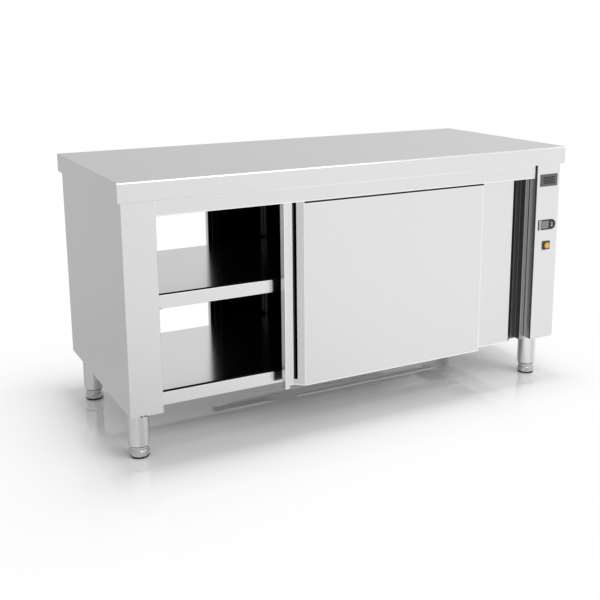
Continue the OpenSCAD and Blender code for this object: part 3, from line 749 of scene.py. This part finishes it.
def make_gap_shadow_strip(door):
    """Black strip of painted shadow along an outer door's upper edge, for the gap under the header, in a
    steel holder painted near white as a highlight.
    """
    trim = bpy.context.scene.cupboard_trim
    low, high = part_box(f"{door}_skin")
    header_low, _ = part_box("front_header")
    out = outwards(door)
    face = low.y if out == -1 else high.y
    end_gap, header_gap, holder_height = 2.4 * MM, 0.5 * MM, 2.2 * MM
    holder_depth = trim.gap_shadow_depth * 0.6
    top = header_low.z - header_gap
    bottom = top - trim.wiper_height
    for name, z0, z1, depth, material in (
            ("wiper", bottom, top, trim.gap_shadow_depth, "rubber_and_shadow_black"),
            ("highlight_holder", bottom - holder_height, bottom, holder_depth, "steel_highlight_rim")):
        rim = face + out * depth
        outline = rounded_box((min(face, rim), z0), (max(face, rim), z1), 0.3 * MM, 3)
        piece = extruded(f"{door}_{name}", outline, X, low.x + GRIP_WIDTH, high.x - end_gap, material)
        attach(piece, f"{door}_door")


def make_joint_seal(door):
    """Black strip that closes the gap between an outer door's two skins, beside the grip."""
    low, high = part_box(f"{door}_liner")
    out = outwards(door)
    inner_plane = high.y if out == -1 else low.y
    width, lap, inset, thickness, end_gap = 2.3 * MM, 0.1 * MM, 0.1 * MM, 1.1 * MM, 1 * MM
    near, far = sorted(inner_plane + out * depth for depth in (inset, inset + thickness))
    outline = rounded_box((low.x - width, near), (low.x + lap, far), 0.2 * MM, 2)
    piece = extruded(f"{door}_joint_seal", outline, Z, low.z + end_gap, high.z - end_gap, "rubber_and_shadow_black")
    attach(piece, f"{door}_door")


def make_pillar_shadow_strips():
    """Black strips of painted shadow, for the gap beside the pillar, down the inner side of the control
    pillar, in front of the outer doors' lanes.
    """
    header_low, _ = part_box("front_header")
    casing_low, casing_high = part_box("right_end_casing")
    width, face_gap, header_lap, foot_gap = 1.8 * MM, 4.6 * MM, 0.2 * MM, 2 * MM
    bottom = casing_low.z + foot_gap
    for side, name in ((-1, "front"), (1, "rear")):
        near, far = sorted(side * depth for depth in (casing_high.y - face_gap, header_lap - header_low.y))
        outline = rounded_box((casing_low.x - width, near), (casing_low.x, far), 0.6 * MM)
        piece = extruded(f"{name}_pillar_shadow_strip", outline, Z, bottom, casing_high.z, "shadow_grey")
        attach(piece, "cabinet")


def make_edge_slot_shadows():
    """Two small black pieces of painted shadow at the left pillar's lower edge, which stand for two dark
    slots.
    """
    low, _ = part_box("left_end_casing")
    first, pitch, width = 28.5 * MM, 12 * MM, 8 * MM
    below, above, before, behind = 1.2 * MM, 2.2 * MM, 0.6 * MM, 6 * MM
    for i in range(2):
        left = low.x + first + i * pitch
        outline = swapped(rounded_box((left, low.z - below), (left + width, low.z + above), 0.8 * MM))
        piece = extruded(f"edge_slot_shadow_{i + 1}", outline, Y, low.y - before, low.y + behind, "rubber_and_shadow_black")
        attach(piece, "cabinet")


def make_tray_shade_strips():
    """Black strips of painted shade on the deck and the shelf, just behind their front bends."""
    trim = bpy.context.scene.cupboard_trim
    bend, sunk, proud, end_gap = 3 * MM, 0.2 * MM, 0.4 * MM, 2 * MM
    for name, node in (("deck", "bottom_deck"), ("shelf", "shelf")):
        low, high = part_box(node)
        front = low.y + bend
        outline = rounded_box((front, high.z - sunk), (front + trim.shade_strip_width, high.z + proud), 0.2 * MM, 2)
        piece = extruded(f"{name}_front_shade_strip", outline, X, low.x + end_gap, high.x - end_gap, "shade_black")
        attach(piece, "cabinet")


def make_thermostat_front():
    """Display window, its edge, a pale margin and the status lamp on the thermostat's front."""
    low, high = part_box("thermostat_case")
    middle = (low.z + high.z) / 2
    # In millimetres: left and right from the case's left edge, half the height, front and rear from its
    # face, and the corner
    for name, left, right, half, front, rear, corner, material in (
            ("display", 14.4, 43.6, 13.4, 0.35, 0.8, 0.8, "display_grey"),
            ("display_edge", 11.4, 13.0, 14.5, -0.35, 0, 0.4, "black_gloss"),
            ("pale_margin", 0.2, 10.8, 17.6, -0.3, 0, 1.2, "pale_grey_gloss")):
        outline = swapped(rounded_box((low.x + left * MM, middle - half * MM),
                                      (low.x + right * MM, middle + half * MM), corner * MM))
        piece = extruded(f"thermostat_{name}", outline, Y, low.y + front * MM, low.y + rear * MM, material)
        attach(piece, "cabinet")
    key_low, key_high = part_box("thermostat_key_up")
    # The lamp is as far to the left of the keys as it is above the middle
    offset, steps = 6.5 * MM, 24
    centre = ((key_low.x + key_high.x) / 2 - offset, low.y, middle + offset)
    dome = [(0, -0.9 * MM), (0.8 * MM, -0.75 * MM), (1.4 * MM, -0.3 * MM),
            (1.5 * MM, 0.2 * MM), (0, 0.2 * MM)]
    lamp = turned("thermostat_lamp", dome, centre, Y, steps, "lamp_pink")
    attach(lamp, "cabinet")


def make_switch_collar():
    """Raised ring round the push button."""
    trim = bpy.context.scene.cupboard_trim
    low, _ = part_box("switch_housing")
    button_low, button_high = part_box("switch_button")
    radius = (button_high.x - button_low.x) / 2
    centre = ((button_low.x + button_high.x) / 2, low.y, (button_low.z + button_high.z) / 2)
    inner, outer = radius + 0.5 * MM, radius + 2.2 * MM
    foot, top = 0.3 * MM, -1.5 * MM
    ring = [(inner, foot), (inner, top + 0.4 * MM), (inner + 0.4 * MM, top), (outer - 0.5 * MM, top),
            (outer, top + 0.5 * MM), (outer, foot), (inner, foot)]
    collar = turned("switch_collar", ring, centre, Y, trim.round_steps, "black_moulding")
    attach(collar, "cabinet")


# ---- screws, by geometry nodes ----


def screw_tree():
    """A node tree that sets screw heads along a curve at an even pitch."""
    tree = bpy.data.node_groups.new("screw_row", "GeometryNodeTree")
    socket = tree.interface.new_socket
    socket("Geometry", in_out="INPUT", socket_type="NodeSocketGeometry")
    for name, value in (("Pitch", 0.15), ("Radius", 0.004), ("Height", 0.002)):
        socket(name, in_out="INPUT", socket_type="NodeSocketFloat").default_value = value
    socket("Material", in_out="INPUT", socket_type="NodeSocketMaterial")
    socket("Geometry", in_out="OUTPUT", socket_type="NodeSocketGeometry")

    graph = Graph(tree)
    line = graph.node("NodeGroupInput", out="Geometry")
    radius = line.beside("Radius")
    sides, crown_share = 20, 0.62
    points = graph.node("GeometryNodeCurveToPoints", {"mode": "LENGTH"},
                        {"Curve": line, "Length": line.beside("Pitch")}, out="Points")
    head = graph.node("GeometryNodeMeshCone", {"fill_type": "NGON"},
                      {"Vertices": sides, "Radius Bottom": radius, "Radius Top": radius * crown_share,
                       "Depth": line.beside("Height")}, out="Mesh")
    placed = graph.node("GeometryNodeInstanceOnPoints", {}, {"Points": points, "Instance": head})
    real = graph.node("GeometryNodeRealizeInstances", {}, {"Geometry": placed})
    painted = graph.node("GeometryNodeSetMaterial", {},
                         {"Geometry": real, "Material": line.beside("Material")})
    graph.node("NodeGroupOutput", {}, {"Geometry": painted})
    return tree


def service_line():
    """The closed line of the screws, round the wall between the cupboard and its warm air unit."""
    low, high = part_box("right_inner_wall")
    _, shelf_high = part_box("shelf")
    inset, top_inset = 16 * MM, 48 * MM
    y0, y1, z0, z1 = low.y + inset, high.y - inset, shelf_high.z + inset, high.z - top_inset
    corners = ((y0, z0), (y1, z0), (y1, z1), (y0, z1))
    curve = bpy.data.curves.new("service_screw_line", "CURVE")
    curve.dimensions = "3D"
    line = curve.splines.new("POLY")
    line.points.add(len(corners) - 1)
    for point, (y, z) in zip(line.points, corners):
        point.co = (0, y, z, 1)
    line.use_cyclic_u = True
    return curve


def make_service_screws():
    """Screws round the service panel, with their heads on the compartment's side of the wall."""
    trim = bpy.context.scene.cupboard_trim
    low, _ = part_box("right_inner_wall")
    holder = add_object("service_screws", service_line())
    modifier = holder.modifiers.new("screws", "NODES")
    modifier.node_group = screw_tree()
    values = {"Pitch": trim.screw_pitch, "Radius": trim.screw_radius, "Height": 1.6 * MM,
              "Material": bpy.data.materials["plated_steel"]}
    for item in modifier.node_group.interface.items_tree:
        if item.name in values:
            modifier[item.identifier] = values[item.name]
    view = bpy.context.evaluated_depsgraph_get()
    made = bpy.data.meshes.new_from_object(holder.evaluated_get(view))
    bpy.data.objects.remove(holder)
    mesh = bmesh.new()
    mesh.from_mesh(made)
    lay_down = Matrix.Rotation(-math.pi / 2, 3, "Y")
    for head in loose_parts(mesh):
        base = sum((vertex.co for vertex in head), Vector()) / len(head)
        base.z = min(vertex.co.z for vertex in head)
        for vertex in head:
            vertex.co = lay_down @ (vertex.co - base) + Vector((low.x, base.y, base.z))
    piece = new_piece("service_panel_screws", mesh, "plated_steel")
    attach(piece, "cabinet")


# ---- stage ----

WHITE = (1, 1, 1)


def room_tone(x, y, reach):
    """What steel sees of the room towards (x, y): bright at the front right, dim at the rear left."""
    studio = bpy.context.scene.cupboard_studio
    mean = (studio.bright_side + studio.dim_side) / 2
    swing = (studio.bright_side - studio.dim_side) / 2
    bright_x, bright_y, full_swing = 0.8, 0.6, 0.85
    toward = (x * bright_x - y * bright_y) / reach
    return mean + swing * toward / full_swing


def floor_finish():
    """A faint mirror near the cupboard, which gives way to plain white a short way from it."""
    studio = bpy.context.scene.cupboard_studio
    finish = material_finish("studio_floor")
    base = finish.node(
        "ShaderNodeBsdfPrincipled", {},
        {"Base Color": (0.90, 0.90, 0.90), "Roughness": 0.0, "Specular IOR Level": 1.0})
    x, y = finish.place("X"), finish.place("Y")
    beside = (x.size() - cad_high.x).larger(0)
    before = (y.size() - cad_high.y).larger(0)
    distance = (beside * beside + before * before).root()
    seen, camera = finish.seen()
    # Painted light: the floor is painted white sooner at the right, so the shadow reaches further at the
    # left, away from the key lamp
    lit_side = (1 + x * 0.3).larger(0.6)
    fade = (1 - math.e ** (distance * lit_side / -studio.floor_fade)) * seen
    off_zero = 0.01
    reach = (x * x + y * y + off_zero).root()
    # Painted shade: in reflections the floor is a little darker near the cupboard
    near = distance.ramp(0.2, 1.6, 0.94, 1.0)
    # In reflections the floor shows painted light, brighter at the front right and dimmer at the rear left
    tone = finish.mix(camera, finish.scaled(WHITE, room_tone(x, y, reach) * near), WHITE)
    white = finish.node("ShaderNodeEmission", {}, {"Color": tone, "Strength": 1.0})
    shown = finish.node("ShaderNodeMixShader", {}, {0: fade, 1: base, 2: white})
    finish.node("ShaderNodeOutputMaterial", {}, {"Surface": shown})
    return finish.owner


def make_floor():
    """Round pale floor."""
    studio = bpy.context.scene.cupboard_studio
    mesh = bmesh.new()
    bmesh.ops.create_circle(mesh, cap_ends=True, segments=96, radius=studio.floor_size)
    data = bpy.data.meshes.new("studio_floor")
    mesh.to_mesh(data)
    mesh.free()
    data.materials.append(floor_finish())
    add_object("studio_floor", data)


def make_world():
    """White for the camera, a shaded room in reflections, and an even light for the rest."""
    studio = bpy.context.scene.cupboard_studio
    world = bpy.data.worlds.new("studio_room")
    bpy.context.scene.world = world
    finish = Finish(world)
    toward = finish.node("ShaderNodeTexCoord", out="Generated")
    x, y, z = (finish.coordinate(toward, axis) for axis in "XYZ")
    seen, camera = finish.seen()
    tone = room_tone(x, y, 1.0) - z.larger(0) * studio.dim_above
    tone = finish.mix(camera, finish.scaled(WHITE, tone), WHITE)
    white = finish.node("ShaderNodeBackground", {}, {"Color": tone, "Strength": 1.0})
    room = finish.node("ShaderNodeBackground", {}, {"Color": WHITE, "Strength": studio.room_light})
    shown = finish.node("ShaderNodeMixShader", {}, {0: seen, 1: room, 2: white})
    finish.node("ShaderNodeOutputWorld", {}, {"Surface": shown})


def make_lamp(name, place, target, size, power, mirrored):
    """A soft area lamp that faces a point. The steel mirrors it or not."""
    data = bpy.data.lights.new(name, "AREA")
    data.shape = "RECTANGLE"
    data.size, data.size_y = size
    data.energy = power
    lamp = add_object(name, data)
    lamp.location = place
    lamp.rotation_euler = (Vector(target) - Vector(place)).to_track_quat("-Z", "Y").to_euler()
    lamp.visible_glossy = mirrored


def make_lamps():
    """A large lamp at the front right, and a long one over the front edge that the steel mirrors."""
    studio = bpy.context.scene.cupboard_studio
    make_lamp("key_lamp", place=(2.6, -3.4, 2.6), target=(0.4, 0, 0.3), size=(2.6, 2.0),
              power=studio.key_power, mirrored=False)
    make_lamp("edge_lamp", place=(1.2, -2.1, 2.9), target=(0.1, -0.3, 0.8), size=(4.4, 0.6),
              power=studio.top_power, mirrored=True)


def make_camera():
    """The camera at the photographed view, with part of its framing done by lens shift."""
    studio = bpy.context.scene.cupboard_studio
    data = bpy.data.cameras.new("studio_camera")
    data.sensor_width = 36
    data.lens = studio.camera_lens
    data.shift_x = studio.shift_x
    data.shift_y = studio.shift_y
    data.clip_end = 100
    camera = add_object("studio_camera", data)
    turn = (Matrix.Rotation(-studio.camera_yaw, 3, "Z")
            @ Matrix.Rotation(math.pi / 2 - studio.camera_pitch, 3, "X")
            @ Matrix.Rotation(studio.camera_roll, 3, "Z"))
    camera.rotation_euler = turn.to_euler()
    camera.location = studio.camera_place
    bpy.context.scene.camera = camera


# ---- operators ----


class CUPBOARD_OT_finishes(bpy.types.Operator):
    """Make all materials and give each CAD node its own"""
    bl_idname = "cupboard.finishes"
    bl_label = "Finish the sheets and fittings"

    def execute(self, context):
        made = (*sheet_finishes(), *inner_finishes(), *trim_finishes())
        by_name = {material.name: material for material in made}
        for finish, nodes in NODE_FINISH.items():
            for node in nodes:
                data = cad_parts[node].data
                data.materials.clear()
                data.materials.append(by_name[finish])
        bare = set(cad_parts) - {node for nodes in NODE_FINISH.values() for node in nodes}
        if bare:
            raise ValueError(f"no finish for {sorted(bare)}")
        return {"FINISHED"}


class CUPBOARD_OT_door_strips(bpy.types.Operator):
    """Put the painted gap shadows and the joint seals on the outer doors"""
    bl_idname = "cupboard.door_strips"
    bl_label = "Door gap shadows and seals"

    def execute(self, context):
        for door in ("front_outer", "rear_outer"):
            make_gap_shadow_strip(door)
            make_joint_seal(door)
        return {"FINISHED"}


class CUPBOARD_OT_pillar_trim(bpy.types.Operator):
    """Put the painted shadow strips and the painted slot shadows on the pillars"""
    bl_idname = "cupboard.pillar_trim"
    bl_label = "Pillar shadow strips and slot shadows"

    def execute(self, context):
        make_pillar_shadow_strips()
        make_edge_slot_shadows()
        return {"FINISHED"}


class CUPBOARD_OT_tray_shade_strips(bpy.types.Operator):
    """Lay the strips of painted shade on the deck and the shelf"""
    bl_idname = "cupboard.tray_seams"
    bl_label = "Deck and shelf shade strips"

    def execute(self, context):
        make_tray_shade_strips()
        return {"FINISHED"}


class CUPBOARD_OT_controls(bpy.types.Operator):
    """Dress the thermostat and the switch"""
    bl_idname = "cupboard.controls"
    bl_label = "Thermostat and switch"

    def execute(self, context):
        make_thermostat_front()
        make_switch_collar()
        return {"FINISHED"}


class CUPBOARD_OT_screws(bpy.types.Operator):
    """Set the screws of the service panel"""
    bl_idname = "cupboard.screws"
    bl_label = "Service panel screws"

    def execute(self, context):
        make_service_screws()
        return {"FINISHED"}


class CUPBOARD_OT_stage(bpy.types.Operator):
    """Make the floor, the room, the lamps and the camera"""
    bl_idname = "cupboard.stage"
    bl_label = "Studio"

    def execute(self, context):
        make_floor()
        make_world()
        make_lamps()
        make_camera()
        context.scene.view_settings.view_transform = "Standard"
        return {"FINISHED"}


class CUPBOARD_PT_panel(bpy.types.Panel):
    """Lists the steps that dress the cupboard"""
    bl_idname = "CUPBOARD_PT_panel"
    bl_label = "Plate warming cupboard"
    bl_space_type = "VIEW_3D"
    bl_region_type = "UI"
    bl_category = "Cupboard"

    def draw(self, context):
        for operator in OPERATORS:
            self.layout.operator(operator.bl_idname)


SETTINGS = {
    "cupboard_steel": SteelSettings,
    "cupboard_trim": TrimSettings,
    "cupboard_controls": ControlSettings,
    "cupboard_studio": StudioSettings,
}
OPERATORS = (CUPBOARD_OT_finishes, CUPBOARD_OT_door_strips, CUPBOARD_OT_pillar_trim, CUPBOARD_OT_tray_shade_strips,
             CUPBOARD_OT_controls, CUPBOARD_OT_screws, CUPBOARD_OT_stage)


def register():
    for kind in (*SETTINGS.values(), *OPERATORS, CUPBOARD_PT_panel):
        bpy.utils.register_class(kind)
    for name, kind in SETTINGS.items():
        setattr(bpy.types.Scene, name, PointerProperty(type=kind))


def unregister():
    for name in SETTINGS:
        delattr(bpy.types.Scene, name)
    for kind in (CUPBOARD_PT_panel, *reversed(OPERATORS), *SETTINGS.values()):
        bpy.utils.unregister_class(kind)


def main():
    register()
    bpy.ops.cupboard.finishes()
    bpy.ops.cupboard.door_strips()
    bpy.ops.cupboard.pillar_trim()
    bpy.ops.cupboard.tray_seams()
    bpy.ops.cupboard.controls()
    bpy.ops.cupboard.screws()
    bpy.ops.cupboard.stage()


if __name__ == "__main__":
    main()
